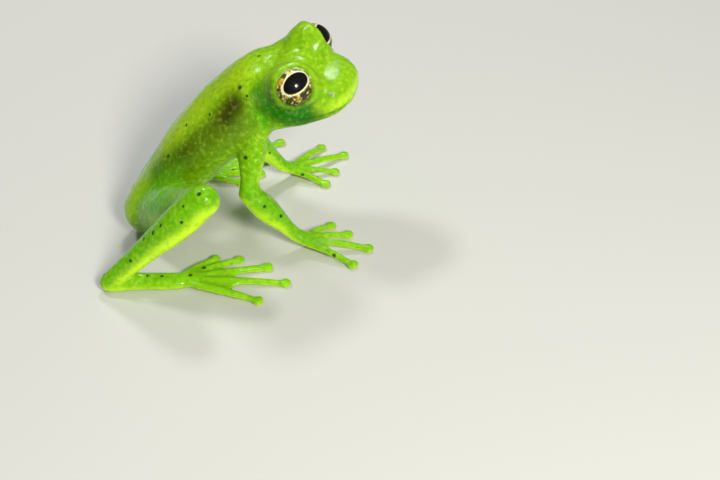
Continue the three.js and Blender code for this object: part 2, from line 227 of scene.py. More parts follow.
eyes = [eyeOf(-1), eyeOf(1)]


# Arms and legs: sizes along each part, as half width and half height, and how they are posed
arm = {
    "root": (16.4, 2.75, -1.1), "upperLong": 5.7, "foreLong": 6.0, "palmLong": 2.3,
    "wristHigh": 1.5, "knucklesHigh": 0.5,
    "upper": [(0, 1.45, 1.45), (0.4, 1.25, 1.25), (0.8, 0.92, 0.92), (1, 0.98, 0.98)],
    "fore": [(0, 0.98, 0.98), (0.3, 1.22, 1.16), (0.8, 0.78, 0.74), (1, 0.72, 0.66)],
    "palm": [(0, 0.7, 0.62), (0.6, 1.0, 0.52), (1, 1.0, 0.42)],
    "fingers": [(4.3, 52), (4.9, 22), (6.6, -4), (6.0, -30)],  # length, heading to the thumb side
    "fingerRoot": (1.3, 0.6, -28),  # distance from the wrist, share of a finger's heading, pitch
    "inPalm": 1.4,  # length of each finger that the palm hides
    "webbed": (0.45, 0.5),  # share of the two outer fingers that their web joins
    "poses": {-1: {"upper": (-118, -64), "fore": -12, "hand": -14},
              1: {"upper": (116, -62), "fore": 6, "hand": 16}},
}
leg = {
    "root": (3.5, 1.8, -0.2), "thighLong": 11.2, "shankLong": 12.9, "tarsusLong": 6.4,
    "heelHigh": 0.85, "ankleHigh": 0.55,
    "thigh": [(0, 2.2, 2.3), (0.35, 2.05, 2.25), (0.75, 1.5, 1.65), (1, 1.4, 1.45)],
    "shank": [(0, 1.4, 1.45), (0.25, 1.6, 1.5), (0.6, 1.15, 1.1), (0.85, 0.92, 0.92), (1, 0.95, 0.95)],
    "tarsus": [(0, 0.95, 0.9), (0.5, 0.85, 0.75), (1, 0.95, 0.62)],
    "toes": [  # length, heading to the inner side, share that is webbed
        (4.2, 46, 0.6), (5.6, 29, 0.68), (7.4, 12, 0.7), (8.9, -4, 0.62), (7.2, -22, 0.72),
    ],
    "toeRoot": (0.55, 2, 0),  # distance from the ankle, share of a toe's heading, pitch
    "inFoot": 0.5,  # length of each toe that the foot hides
    "webFall": 0.9,  # a web reaches less far out on its outer toe
    "poses": {-1: {"thigh": (-66, 35), "shank": 166, "foot": -9.5},
              1: {"thigh": (35, 36), "shank": 190, "foot": 20}},
}
digit = {
    "sizes": [(0, 0.42, 0.4), (0.6, 0.34, 0.32), (1, 0.31, 0.28)],
    "bendAt": 0.55, "arch": 0.28,  # where along it a digit bends, and how much it arches there
    "disc": (0.52, 0.56, 0.31), "discAhead": 0.25, "discHigh": 0.24, "padHigh": 0.24,
    "webHalf": 0.2, "webHollow": 0.25, "webDrop": 0.05,  # half thickness, hollow of the free edge, sag
    "webFrom": 0.05,  # share of the way along its digits where a web starts
}


def digitParts(root, length, heading):
    # a digit that comes down to the floor and ends in a round disc
    tip = stride(root, length, heading, 0)
    tip[2] = digit["padHigh"]
    bend = root + (tip - root) * digit["bendAt"]
    bend[2] = (root[2] + digit["padHigh"]) * 0.5 + digit["arch"]
    pad = stride(tip, digit["discAhead"], heading, 0)
    pad[2] = digit["discHigh"]
    path = {"from": root, "bend": bend, "to": tip, "sizes": digit["sizes"]}
    disc = ballRings(pad, facing(0, heading), digit["disc"], 20, 24)
    return path, [tube(limbRings(path, 40, 20)), tube(disc)]


def web(pathA, pathB, reachA, reachB):
    # skin between two digits: rows across, hollowed at the free edge, made a thin closed plate
    v = np.linspace(digit["webFrom"], 1, 24)[:, None]
    u = np.linspace(0, 1, 12)[None, :]
    hollow = 1 - digit["webHollow"] * np.sin(math.pi * u)
    share = (v * (reachA + (reachB - reachA) * u) * hollow)[..., None]
    middle = curveAt(pathA, share) * (1 - u[..., None]) + curveAt(pathB, share) * u[..., None]
    middle[..., 2] = np.maximum(middle[..., 2] - digit["webDrop"], digit["webHalf"])
    lift = np.array([0, 0, digit["webHalf"]])
    return tube(np.concatenate([middle - lift, (middle + lift)[:, ::-1]], 1))


def armParts(side):
    # upper arm, forearm and palm laid end to end from the shoulder, then fingers out of the palm
    pose = arm["poses"][side]
    place, out, up = arm["root"]
    shoulder = fromSpine(place, 0, out * side, up)
    elbow = stride(shoulder, arm["upperLong"], *pose["upper"])
    wrist = strideTo(elbow, arm["foreLong"], pose["fore"], arm["wristHigh"])
    knuckles = strideTo(wrist, arm["palmLong"], pose["hand"], arm["knucklesHigh"])
    parts = [straight(shoulder, elbow, arm["upper"]), straight(elbow, wrist, arm["fore"]),
             straight(wrist, knuckles, arm["palm"])]
    ahead, fan, pitch = arm["fingerRoot"]
    digits = [
        digitParts(stride(wrist, ahead, pose["hand"] - side * spread * fan, pitch), length - arm["inPalm"],
                   pose["hand"] - side * spread)
        for length, spread in arm["fingers"]
    ]
    return parts, digits, [web(digits[2][0], digits[3][0], *arm["webbed"])]


def legParts(side):
    # thigh, shank and tarsus laid end to end from the hip, then toes with webs between neighbours
    pose = leg["poses"][side]
    place, out, up = leg["root"]
    hip = fromSpine(place, 0, out * side, up)
    knee = stride(hip, leg["thighLong"], *pose["thigh"])
    heel = strideTo(knee, leg["shankLong"], pose["shank"], leg["heelHigh"])
    ankle = strideTo(heel, leg["tarsusLong"], pose["foot"], leg["ankleHigh"])
    parts = [straight(hip, knee, leg["thigh"]), straight(knee, heel, leg["shank"]),
             straight(heel, ankle, leg["tarsus"])]
    ahead, fan, pitch = leg["toeRoot"]
    digits = [
        digitParts(stride(ankle, ahead, pose["foot"] - side * spread * fan, pitch), length - leg["inFoot"],
                   pose["foot"] - side * spread)
        for length, spread, _ in leg["toes"]
    ]
    reaches = [webbed for _, _, webbed in leg["toes"]]
    webs = [web(digits[k][0], digits[k + 1][0], reaches[k], reaches[k + 1] * leg["webFall"])
            for k in range(len(digits) - 1)]
    return parts, digits, webs


# Forms that the head adds to the spine's sections: place and offsets of each
head = {
    "crown": (21.8, 0, 0, 1.7), "crownRadii": (2.8, 2.7, 2.3),
    "ridge": ((22.9, 2.6, 2.6), (26.2, 1.45, 1.15)),  # from eye to nostril: place, aside, above
    "ridgeSizes": [(0, 0.95, 0.95), (1, 0.6, 0.6)],
}

limbs = {}
flesh = [tube(bodyRings(np.linspace(body["tip"], body["length"] - body["tip"], 260),
                        np.linspace(0, 2 * math.pi, 160, endpoint=False)))]
headWays = spineAt(eye["place"])[1:]
for one in eyes:
    ahead, out, up = eye["slopeAt"]
    moundAt = one["centre"] - eye["moundBack"] * one["looks"] - eye["moundDown"] * headWays[2]
    slopeAt = fromSpine(eye["place"], ahead, out * one["side"], up)
    ridgeEnds = [fromSpine(place, 0, out * one["side"], up) for place, out, up in head["ridge"]]
    flesh += [tube(ballRings(moundAt, headWays, eye["mound"])),
              tube(ballRings(slopeAt, headWays, eye["slope"])),
              tube(limbRings(straight(*ridgeEnds, head["ridgeSizes"])))]
flesh.append(tube(ballRings(fromSpine(*head["crown"]), headWays, head["crownRadii"])))
for side in (-1, 1):
    for kind, (parts, digits, webs) in (("arm", armParts(side)), ("leg", legParts(side))):
        limbs[kind, side] = parts
        flesh += [tube(limbRings(part)) for part in parts] + webs
        flesh += [piece for _, pieces in digits for piece in pieces]
print("lofts made:", len(flesh))


def placed(name, data):
    # an object for a mesh, a lamp or a camera, linked into the scene
    thing = bpy.data.objects.new(name, data)
    bpy.context.scene.collection.objects.link(thing)
    return thing


def joinedSkin(pieces, voxel):
    # one closed skin round overlapping closed pieces, by a voxel remesh; returns points and quads
    counts = np.cumsum([0] + [len(points) for points, _ in pieces])
    faces = [[corner + start for corner in face]
             for (_, own), start in zip(pieces, counts.tolist()) for face in own]
    mesh = bpy.data.meshes.new("lofts")
    mesh.from_pydata(np.concatenate([points for points, _ in pieces]), [], faces)
    draft = placed("lofts", mesh)
    remesh = draft.modifiers.new("one skin", "REMESH")
    remesh.mode = "VOXEL"
    remesh.voxel_size = voxel
    made = bpy.data.meshes.new_from_object(draft.evaluated_get(bpy.context.evaluated_depsgraph_get()))
    points = np.empty(len(made.vertices) * 3)
    made.vertices.foreach_get("co", points)
    quads = np.empty(len(made.loops), np.int64)
    made.loops.foreach_get("vertex_index", quads)
    bpy.data.objects.remove(draft)
    bpy.data.meshes.remove(mesh)
    bpy.data.meshes.remove(made)
    return points.reshape(-1, 3), quads.reshape(-1, 4)


skinSpacing = 0.144  # between neighbouring points of the skin, fine enough for the margins of the lids
points, quads = joinedSkin(flesh, skinSpacing)
print("skin remeshed:", len(points), "points")


# Each quad's side, one way round, gives every point its neighbours once
links = np.concatenate([quads[:, [k, (k + 1) % 4]] for k in range(4)])
degree = np.bincount(links[:, 0], minlength=len(points))[:, None]


def neighbourMean(values):
    # mean over the neighbours of every point
    sums = [np.bincount(links[:, 0], column[links[:, 1]], len(values)) for column in values.T]
    return np.stack(sums, 1) / degree


def relaxed(points, weight, rounds):
    # each point moves part of the way to its neighbours' mean, then most of the way back
    for _ in range(rounds):
        for share in (0.5, -0.48):
            points = points + share * weight * (neighbourMean(points) - points)
    return points


def normalsOf(points):
    # unit normals: the sum of the normals of the quads round each point
    a, b, c, d = (points[quads[:, k]] for k in range(4))
    faceNormal = np.cross(c - a, d - b)
    sums = np.stack([
        np.bincount(quads.ravel(), np.repeat(faceNormal[:, axis], 4), len(points)) for axis in range(3)
    ], 1)
    return sums / np.linalg.norm(sums, axis=1, keepdims=True)


def near(points, place, reach):
    # a bell curve of the distance from a place
    return bump(np.linalg.norm(points - place, axis=1), reach)


# Flesh runs on from part to part: how far round each joint the skin is drawn smooth, in how many rounds
smoothing = {
    "arm": [(3.0, 60), (1.6, 40), (1.5, 30), (1.5, 20)],  # shoulder, elbow, wrist, knuckles
    "leg": [(3.6, 70), (2.2, 40), (1.5, 30), (1.6, 30)],  # hip, knee, heel, ankle
    "eye": (3.2, 110), "eyeBack": 1.1,
    "roundsBefore": 3, "roundsAfter": 6,
}
joints = [(one["centre"] - smoothing["eyeBack"] * one["looks"], *smoothing["eye"]) for one in eyes]
for (kind, _), parts in limbs.items():
    places = [parts[0]["from"]] + [part["to"] for part in parts]
    joints += [(place, *own) for place, own in zip(places, smoothing[kind])]
points = relaxed(points, 1.0, smoothing["roundsBefore"])
rounds = np.zeros(len(points))
for place, reach, most in joints:
    rounds = np.maximum(rounds, most * near(points, place, reach))
for count in range(int(rounds.max())):
    share = 0.5 * np.clip(rounds - count, 0, 1)[:, None]
    points = points + share * (neighbourMean(points) - points)
points = relaxed(points, 1.0, smoothing["roundsAfter"])
print("skin smoothed")


def bodyPlaces(points):
    # where each point is in the body: place along the spine, left of it and above it
    coarse = np.arange(0, body["length"] + spineStep, 6 * spineStep)
    stations = spineAt(coarse)[0]
    far = (stations ** 2).sum(1) - 2 * points @ stations.T
    place = coarse[far.argmin(1)]
    for _ in range(4):
        at, ahead, _, _ = spineAt(place)
        place = place + ((points - at) * ahead).sum(1)
    at, _, left, up = spineAt(place)
    return place, ((points - at) * left).sum(1), ((points - at) * up).sum(1)


# Camera, fitted to the photograph: where a point of the frog falls in its 720 by 480 pixels
photo = {"width": 720, "height": 480, "targetPixel": (223.7, 156.6), "pixelsPerMillimetre": 10.94}
view = {"azimuth": -3.0, "elevation": 33.4, "roll": -6.6, "distance": 150.0, "target": (6.42, 0.0, 7.0)}


def cameraAxes():
    # right, up and back of a camera that has its target straight ahead
    az, el, roll = (math.radians(view[key]) for key in ("azimuth", "elevation", "roll"))
    back = np.array([math.sin(az) * math.cos(el), -math.cos(az) * math.cos(el), math.sin(el)])
    level = np.array([math.cos(az), math.sin(az), 0])
    upright = np.cross(back, level)
    right = math.cos(roll) * level + math.sin(roll) * upright
    return right, np.cross(back, right), back


cameraRight, cameraUp, cameraBack = cameraAxes()
cameraPlace = np.array(view["target"]) + cameraBack * view["distance"]
focal = photo["pixelsPerMillimetre"] * view["distance"]
sightWidth = 0.15  # how far to the side of a pixel's line of sight a point may lie


def seenAt(pixels):
    # index of the skin point seen at each pixel: the foremost one close to the pixel's line of sight
    found = []
    offset = points - cameraPlace
    for across, down in pixels:
        way = (cameraRight * (across - photo["targetPixel"][0]) / focal
               - cameraUp * (down - photo["targetPixel"][1]) / focal - cameraBack)
        way /= np.linalg.norm(way)
        depth = offset @ way
        aside = np.linalg.norm(offset - depth[:, None] * way, axis=1)
        found.append(int(np.argmin(depth + 1000 * np.maximum(aside - sightWidth, 0))))
    return np.array(found)


# Where the skin belongs to the body and the head: steps from one value to another
regions = {
    "body": (1.35, 1.12),  # how far out a point lies, as a share of the body's own section there
    "limb": (1.3, 2.0),  # the same
    "mounds": (4.6, 3.1),  # distance from an eye
    "head": (18.5, 20.5),  # place along the spine
}
place, wide, tall = bodyPlaces(points)
mirrored = np.stack([place, np.abs(wide), tall], 1)  # both sides of the body as one
halfWidth, above, below = along(body["sections"], place).T
fill = np.sqrt((wide / halfWidth) ** 2 + (tall / np.where(tall > 0, above, below)) ** 2)
fromEyes = np.min([np.linalg.norm(points - one["centre"], axis=1) for one in eyes], 0)
onBody = np.maximum(smoothStep(fill, *regions["body"]), smoothStep(fromEyes, *regions["mounds"]))
onHead = onBody * smoothStep(place, *regions["head"])
normals = normalsOf(points)


def fromPath(rows):
    # distance of every point, on either side of the body, from a path of places (along, aside, above)
    best = np.full(len(points), 99.0)
    for start, end in zip(rows[:-1], rows[1:]):
        start, end = np.array(start), np.array(end)
        run = end - start
        share = np.clip(((mirrored - start) @ run) / (run @ run), 0, 1)
        best = np.minimum(best, np.linalg.norm(mirrored - start - share[:, None] * run, axis=1))
    return best


# Face: line of the mouth, lips, nostrils and ear, then the ridge to the nostril, the cheek and a fold
face = {
    "mouthFrom": 19.8, "mouthFull": 21.4, "mouthDepth": 0.2, "mouthWide": 0.14, "mouthFill": 0.6,
    "waveHigh": 0.05, "waveFrom": 20, "waveTurn": 0.9,  # wave in its line: height, start, radians per mm
    "lipHigh": 0.07, "lipAt": 0.42, "lipWide": 0.28, "jawBack": 0.09, "jawSlope": 0.3,
    "nostrilPixel": (332, 93), "nostrilHigh": 0.13, "nostrilWide": 0.34, "pitDeep": 0.16, "pitWide": 0.12,
    "ear": ((20.3, 4.2, 0.9), (20.3, 4.2, 0.91)), "earRadius": 0.62,
    "earRim": 0.05, "earRimWide": 0.16, "earDeep": 0.05, "earWide": 0.5,
    "forms": [  # height, reach, and path (along, aside, above)
        (0.05, 0.6, ((24.3, 2.75, 2.25), (25.3, 2.1, 2.0), (26.6, 1.3, 1.6))),
        (-0.1, 0.8, ((23.6, 3.6, 1.0), (25.3, 3.0, 0.9))),
        (0.1, 0.35, ((21.0, 4.3, 2.2), (19.6, 4.1, 1.9), (18.4, 3.9, 0.8), (17.6, 3.6, -0.4))),
    ],
}
mouthOpen = smoothStep(place, face["mouthFrom"], face["mouthFull"]) * (fill > face["mouthFill"])
overMouth = tall - face["waveHigh"] * np.sin((place - face["waveFrom"]) * face["waveTurn"])
nostrilAway = np.linalg.norm(mirrored - mirrored[seenAt([face["nostrilPixel"]])], axis=1)
earAway = fromPath(face["ear"])
lift = -face["mouthDepth"] * mouthOpen * bump(overMouth, face["mouthWide"])
lift += face["lipHigh"] * mouthOpen * bump(overMouth - face["lipAt"], face["lipWide"])
lift -= face["jawBack"] * mouthOpen * smoothStep(-overMouth, 0.0, face["jawSlope"])
lift += face["nostrilHigh"] * bump(nostrilAway, face["nostrilWide"])
lift -= face["pitDeep"] * bump(nostrilAway, face["pitWide"])
lift += face["earRim"] * bump(earAway - face["earRadius"], face["earRimWide"])
lift -= face["earDeep"] * bump(earAway, face["earWide"])
for high, reach, path in face["forms"]:
    lift += high * bump(fromPath(path), reach)
points = points + normals * (lift * onBody)[:, None]

# Loose folds and small unevenness of the skin: a few long waves in all directions, added up
uneven = {"seed": 27, "waves": 14, "lengths": (1.6, 4.5), "height": 0.025}
dice = np.random.default_rng(uneven["seed"])
waves = dice.normal(size=(uneven["waves"], 3))
lengths = dice.uniform(*uneven["lengths"], uneven["waves"])
waves *= (2 * math.pi / lengths / np.linalg.norm(waves, axis=1))[:, None]
swell = np.sin(points @ waves.T + dice.uniform(0, 2 * math.pi, uneven["waves"])).sum(1)
points = points + normals * (uneven["height"] * swell / math.sqrt(uneven["waves"]))[:, None]
print("face made")


# Lids: the skin hugs the eyeball and ends in a rounded margin round the opening
lids = {
    "opening": 72.0,  # half angle
    "upperDrop": {-1: 6.0, 1: 23.0},  # how much lower the right and left upper lids hang than that
    "frontDrop": {-1: 18.0, 1: 4.0},  # how much further back the lids meet in front of each eye
    "thick": 0.22, "upperThicker": 0.35,  # thickness of the margin, and the upper lid's share more
    "tuck": 0.22, "turn": (-0.12, 0.1),  # depth of the skin's edge in the ball, and where it rises from there
    "rim": 0.08, "spread": 0.75, "fall": 1.6,  # width of the margin, and how the skin leaves the ball
    "cover": 1.6, "clear": 0.17,  # width of the lids, and how far they keep clear of the ball
    "brow": 0.26, "browRise": (0.2, 0.9), "browWide": 0.5,  # how much thicker the upper lid is behind it
    "own": 1.3,  # how far from the ball skin still belongs to the lids
    "lineAt": -0.1, "lineWide": 0.16,  # a dark line of painted shade along the margin, in the crease where the lid meets the ball
    # the painted shade of the hollow behind and below each eye: where it fades out past the margin and from
    # the eye, and which way it lies
    "hollowPast": (1.9, 0.6), "hollowReach": (4.4, 3.6), "hollowBelow": 0.6, "hollowBehind": 0.75,
    "softAt": 0.4, "softWide": 3.0, "softRounds": (6, 2),
}
lidCreaseShade = np.zeros(len(points))
socketShade = np.zeros(len(points))  # painted shade in the hollow behind and below each eye
for one in eyes:
    offset = points - one["centre"]
    reach = np.linalg.norm(offset, axis=1)
    way = offset / reach[:, None]
    angle = np.degrees(np.arccos(np.clip(way @ one["looks"], -1, 1)))
    slant = np.maximum(np.sin(np.radians(angle)), 1e-3)
    rise, ahead = (way @ one["up"]) / slant, (way @ one["forwards"]) / slant
    half = lids["opening"] - lids["upperDrop"][one["side"]] * smoothStep(rise, 0.0, 1.0)
    half -= lids["frontDrop"][one["side"]] * smoothStep(ahead, 0.0, 1.0) * smoothStep(1 - rise, 0.0, 1.0)
    past = np.radians(angle - half) * eye["radius"]  # millimetres past the margin, along the ball
    inside = eye["radius"] - lids["tuck"]
    margin = eye["radius"] + lids["thick"] * (1 + lids["upperThicker"] * np.clip(rise, 0, 1))
    shell = inside + (margin - inside) * smoothStep(past, *lids["turn"])
    beyond = np.maximum(past - lids["rim"], 0)
    most = shell + lids["spread"] * beyond + lids["fall"] * beyond ** 3
    brow = lids["brow"] * smoothStep(rise, *lids["browRise"]) * smoothStep(past, 0, lids["browWide"])
    covered = (past > lids["rim"]) & (past < lids["cover"])
    least = np.where(covered, eye["radius"] + lids["clear"] + brow, 0.0)
    held = np.clip(reach, least, np.maximum(most, least))
    touched = reach < eye["radius"] + lids["own"]
    # painted shade in the crease where the lid meets the ball
    lidCreaseShade = np.maximum(lidCreaseShade, touched * bump(past - lids["lineAt"], lids["lineWide"]))
    # painted shade in the hollow behind and below the eye, strongest low and behind it
    hollow = smoothStep(past, 0.0, 0.3) * smoothStep(past, *lids["hollowPast"])
    hollow *= smoothStep(reach, *lids["hollowReach"])
    backwards = -lids["hollowBelow"] * rise - lids["hollowBehind"] * ahead
    socketShade = np.maximum(socketShade, hollow * smoothStep(backwards, -0.2, 0.7))
    points = np.where(touched[:, None], one["centre"] + way * held[:, None], points)
    rims = near(points, one["centre"] + lids["softAt"] * one["looks"], lids["softWide"])[:, None]
    points = relaxed(points, rims, lids["softRounds"][0])
points = relaxed(points, 1.0, lids["softRounds"][1])
points[:, 2] = np.maximum(points[:, 2], 0.0)  # soles, palms and rump lie flat on the floor
normals = normalsOf(points)
print("lids made")


# Marks: fields from 0 to 1 over the skin that say where its colours change; a few of them paint light and
# shade
markings = {
    "flankPixels": ((232, 106), (224, 116), (206, 134), (186, 150), (166, 164), (156, 172)),
    "flankWide": 1.25, "coreWide": 0.95,
    "cheekPixels": ((274, 113), (288, 119), (302, 115)), "cheekWide": 1.45,
    "shoulderPixels": ((258, 92), (262, 106), (262, 122)), "shoulderWide": 1.0,
    "hipAt": 0.25, "hipWide": 3.4,  # share of the way down the thigh
    "lipAt": 0.6, "lipWide": 0.5, "mouthWide": 0.1, "nostrilWide": 0.17,
    "spotPixels": (
        (258, 55), (239, 89), (246, 96), (209, 114), (186, 124), (168, 155), (227, 117),
        (199, 192), (182, 205), (160, 224), (152, 232), (143, 237), (181, 223), (130, 261),
        (104, 272), (148, 274), (162, 274), (190, 273), (204, 266),
    ),
    "spotRadius": 0.17, "spotSizes": (0.7, 1.15), "spotApart": 1.5, "spots": 65, "tries": 900,
}


def besideBody(pixels):
    # places in the body (along, aside, above) of the skin seen at some pixels
    return mirrored[seenAt(pixels)]


def spotCentres():
    # spots of the side that the photo shows, then others scattered with clear space between them
    centres = [points[index] for index in seenAt(markings["spotPixels"])]
    armSide = (points[:, 0] > 7.5) & (onBody < 0.5)
    hidden = armSide | (points[:, 1] > 1.5) | (normals @ cameraBack < -0.1)
    free = hidden & (normals[:, 2] > -0.15) & (points[:, 2] > 0.7) & ((points[:, 2] < 9) | (place < 17.5))
    for index in dice.choice(np.flatnonzero(free), markings["tries"], replace=False):
        if min(np.linalg.norm(points[index] - other) for other in centres) > markings["spotApart"]:
            centres.append(points[index])
        if len(centres) == markings["spots"]:
            break
    return centres


def spotField():
    # distance to the nearest spot, in spot radii
    best = np.full(len(points), 4.0)
    for centre in spotCentres():
        radius = markings["spotRadius"] * dice.uniform(*markings["spotSizes"])
        best = np.minimum(best, np.linalg.norm(points - centre, axis=1) / radius)
    return best


dorsal = tall / np.maximum(np.hypot(wide, tall), 0.01)  # 1 along the back, 0 at the sides, -1 below
flankPath = besideBody(markings["flankPixels"])
onLimb = (1 - onBody) * smoothStep(fill, *regions["limb"])
thighs = [limbs["leg", side][0] for side in (-1, 1)]
hips = [(1 - markings["hipAt"]) * thigh["from"] + markings["hipAt"] * thigh["to"] for thigh in thighs]
onHips = np.max([near(points, hip, markings["hipWide"]) for hip in hips], 0)
marks = {
    "under": onBody * smoothStep(-dorsal, 0.5, 1.0) * smoothStep(-normals[:, 2], -0.2, 0.4),
    "side": onBody * bump(dorsal - 0.15, 0.5) * smoothStep(19.5 - place, 0, 3),
    # painted rim light: a lighter yellow-green band along the top of the back
    "back": onBody * smoothStep(dorsal, 0.6, 0.97) * smoothStep(20.5 - place, 0, 3),
    # an olive patch along the upper flank, darker still towards its front end
    "olivePatch": onBody * bump(fromPath(flankPath), markings["flankWide"]),
    "deep": onBody * bump(fromPath(flankPath[:2]), markings["coreWide"]),
    # a deeper green below the eye, between eye and lip: partly the skin's own green, partly painted shade
    "cheek": onHead * bump(fromPath(besideBody(markings["cheekPixels"])), markings["cheekWide"]),
    "lip": onHead * bump(tall - markings["lipAt"], markings["lipWide"]) * smoothStep(place, 21.8, 24.2),
    "shoulder": onBody * bump(fromPath(besideBody(markings["shoulderPixels"])), markings["shoulderWide"]),
    # painted shade in the hollow behind and below each eye
    "socketShade": socketShade,
    "crown": onHead * smoothStep(dorsal, 0.2, 0.8),
    # painted shade along the line of the mouth, in its groove
    "mouth": mouthOpen * onHead * bump(overMouth, markings["mouthWide"]),
    # painted shade in each nostril's pit
    "nostril": onHead * bump(nostrilAway, markings["nostrilWide"]),
    "hip": onHips * smoothStep(normals[:, 2], -0.1, 0.4),
    "limb": onLimb,
    "limbLow": onLimb * smoothStep(0.3 - normals[:, 2], 0, 0.7),
    "digits": (1 - onBody) * smoothStep(1.6 - points[:, 2], 0, 1.0),
    # painted shade in the crease where each lid meets its eyeball
    "lidCreaseShade": lidCreaseShade,
    "spot": spotField(),
}


def skinMesh(name, points, quads):
    # a smooth piece from points in millimetres and four corners for each face
    mesh = bpy.data.meshes.new(name)
    mesh.vertices.add(len(points))
    mesh.vertices.foreach_set("co", (points * millimetre).ravel())
    mesh.loops.add(quads.size)
    mesh.loops.foreach_set("vertex_index", quads.ravel())
    mesh.polygons.add(len(quads))
    mesh.polygons.foreach_set("loop_start", np.arange(0, quads.size, 4))
    mesh.update(calc_edges=True)
    mesh.shade_smooth()
    return placed(name, mesh)


def pointValues(piece, name, values):
    # a number or a vector for every point of a piece, for its material to read
    field = piece.data.attributes.new(name, "FLOAT" if values.ndim == 1 else "FLOAT_VECTOR", "POINT")
    field.data.foreach_set("value" if values.ndim == 1 else "vector", values.astype(np.float32).ravel())


skin = skinMesh("skin", points, quads)
for name, values in marks.items():
    pointValues(skin, name, values)
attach(skin, "root")
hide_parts(*[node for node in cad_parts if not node.startswith("eye_")])
print("skin made:", len(quads), "quads")


# Pupils: where each points in its eye's own frame (forwards, up, outwards), its tilt, and its half sizes
pupils = {
    -1: {"gaze": (0.05, 0.3, 0.95), "tilt": 13, "half": (0.7, 0.46)},
    1: {"gaze": (0.58, 0.32, 0.75), "tilt": 8, "half": (0.64, 0.45)},
}
iris = {
    "amberAt": (-0.62, 0.62, 0.47), "amberWide": 0.2,  # a small amber mark at the back of it
    "darkBelow": (0.25, -0.55),  # heights between which its lower half turns darker
    "raysDrift": 0.4, "behind": 3.0,
}


def eyeBall(one):
    # a ball with fields: distance from the pupil's middle in pupil sizes, the way round it, the amber
    # mark, and how far down in the iris a point is
    name = "eyeball_right" if one["side"] < 0 else "eyeball_left"
    axes = (one["looks"], one["forwards"], one["up"])
    spots, faces = tube(ballRings(one["centre"], axes, [eye["radius"]] * 3, 90, 128))
    mesh = bpy.data.meshes.new(name)
    mesh.from_pydata(spots * millimetre, [], faces)
    mesh.shade_smooth()
    ball = placed(name, mesh)
    unit = (spots - one["centre"]) @ np.array([one["forwards"], one["up"], one["looks"]]).T / eye["radius"]
    pupil = pupils[one["side"]]
    gaze = np.array(pupil["gaze"]) / np.linalg.norm(pupil["gaze"])
    level = np.cross([0, 1, 0], gaze)
    level /= np.linalg.norm(level)
    tilt = math.radians(pupil["tilt"])
    longWay = math.cos(tilt) * level + math.sin(tilt) * np.cross(gaze, level)
    shortWay = np.cross(gaze, longWay)
    flat = np.stack([unit @ longWay, unit @ shortWay], 1) / pupil["half"]
    outward = np.linalg.norm(flat, axis=1)
    ring = np.where(unit @ gaze > 0, outward, iris["behind"])
    pointValues(ball, "ring", ring)
    pointValues(ball, "rays", np.column_stack([flat / outward[:, None], iris["raysDrift"] * ring]))
    pointValues(ball, "amber", bump(np.linalg.norm(unit - iris["amberAt"], axis=1), iris["amberWide"]))
    pointValues(ball, "low", smoothStep(unit[:, 1], *iris["darkBelow"]))
    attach(ball, "root")
    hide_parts(name.replace("eyeball", "eye"))
    return ball


balls = [eyeBall(one) for one in eyes]
print("eyes made")


def linear(hexValue):
    # an sRGB hex colour as linear red, green, blue and alpha
    parts = [int(hexValue[k:k + 2], 16) / 255 for k in (1, 3, 5)]
    return [p / 12.92 if p <= 0.04045 else ((p + 0.055) / 1.055) ** 2.4 for p in parts] + [1.0]


def addNode(tree, kind, inputs=(), **settings):
    # adds a node, sets its properties, then gives each named input a value or a link
    node = tree.nodes.new(kind)
    for name, value in settings.items():
        setattr(node, name, value)
    for name, value in dict(inputs).items():
        if isinstance(value, bpy.types.NodeSocket):
            tree.links.new(value, node.inputs[name])
        else:
            node.inputs[name].default_value = value
    return node


def newMaterial(name):
    # a material with an empty node tree
    material = bpy.data.materials.new(name)
    material.use_nodes = True
    material.node_tree.nodes.clear()
    return material, material.node_tree


def laidOver(tree, colour, hexValue, value, start, end, least=0.0, most=1.0):
    # a second colour over the first: its share steps smoothly from least to most as a value goes from
    # start to end
    share = addNode(tree, "ShaderNodeMapRange", {
        "Value": value, "From Min": start, "From Max": end, "To Min": least, "To Max": most,
    }, interpolation_type="SMOOTHSTEP").outputs["Result"]
    mixed = addNode(tree, "ShaderNodeMix", {0: share, 6: colour, 7: linear(hexValue)}, data_type="RGBA")
    return mixed.outputs[2]


# Moist living skin over translucent flesh: soft light from within under a thin wet film, lime green with
# an olive flank and sparse black-green spots
# Some of these are painted light and shade: the back's band is painted rim light; the hollows round the eyes,
# the lid creases, the mouth's groove and the nostrils are painted shade; the cheek's deeper green is partly
# painted shade
skinColours = [  # mark, colour, strength
    ("side", "#567a03", 0.85), ("back", "#98bc14", 0.8), ("limb", "#64ac06", 0.8),
    ("limbLow", "#d0fa2c", 0.85), ("under", "#b4cc64", 0.8), ("olivePatch", "#445402", 0.92),
    ("deep", "#2c2602", 0.9), ("crown", "#82b20e", 0.7), ("shoulder", "#44aa06", 0.75),
    ("hip", "#38a804", 0.85), ("lip", "#bae82c", 0.9), ("socketShade", "#1a4802", 0.85),
    ("cheek", "#0c7402", 0.85), ("digits", "#a4dc1c", 0.35), ("mouth", "#2c5208", 0.8),
    ("nostril", "#122a06", 1.0), ("lidCreaseShade", "#1d3a08", 0.9),
]
# How many lie in a millimetre: patches 4 mm wide, flecks of 0.4 mm and pores of 0.2 mm. The pores are finer
# in life, and drawn as coarse as they need to show
skinGrain = {"patches": 0.26, "flecks": 2.6, "pores": 5.2}
poreDepth = 0.05


